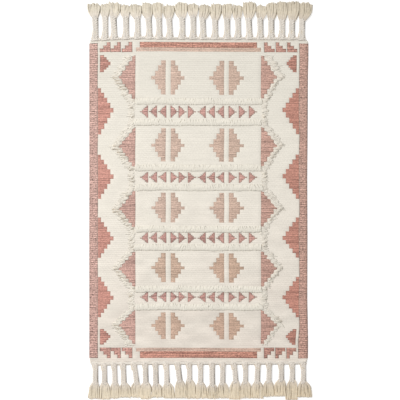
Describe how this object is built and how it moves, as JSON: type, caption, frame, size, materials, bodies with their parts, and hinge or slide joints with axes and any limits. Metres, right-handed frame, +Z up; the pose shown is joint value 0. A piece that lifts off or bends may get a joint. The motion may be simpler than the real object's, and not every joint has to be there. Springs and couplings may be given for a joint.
{
  "type": "kilim rug",
  "caption": "Flat woven cotton rug with zigzag and cross bands of knotted pile, and braided tassels along both ends.",
  "frame": {"origin": "on the floor under the middle of the whole rug, tassels included", "axes": "+X to the right across the rug, +Y up its length towards the top of the picture, +Z up from the floor"},
  "size_m": [0.6122, 1.0864, 0.0108],
  "materials": {
    "ground_weave": "matt weft-ribbed cotton weave",
    "pile_yarn": "soft cut cotton pile",
    "fringe_yarn": "loose plied cotton yarn"
  },
  "bodies": {
    "root": {"ground_cloth": "ground_weave", "pile_band_1_upper": "pile_yarn", "pile_band_1_lower": "pile_yarn", "pile_band_2_upper": "pile_yarn", "pile_band_2_lower": "pile_yarn", "pile_band_3_upper": "pile_yarn", "pile_band_3_lower": "pile_yarn", "pile_band_4_upper": "pile_yarn", "pile_band_4_lower": "pile_yarn", "pile_zigzag_left": "pile_yarn", "pile_zigzag_right": "pile_yarn", "fringe_top": "fringe_yarn", "fringe_bottom": "fringe_yarn"}
  },
  "joints": []
}
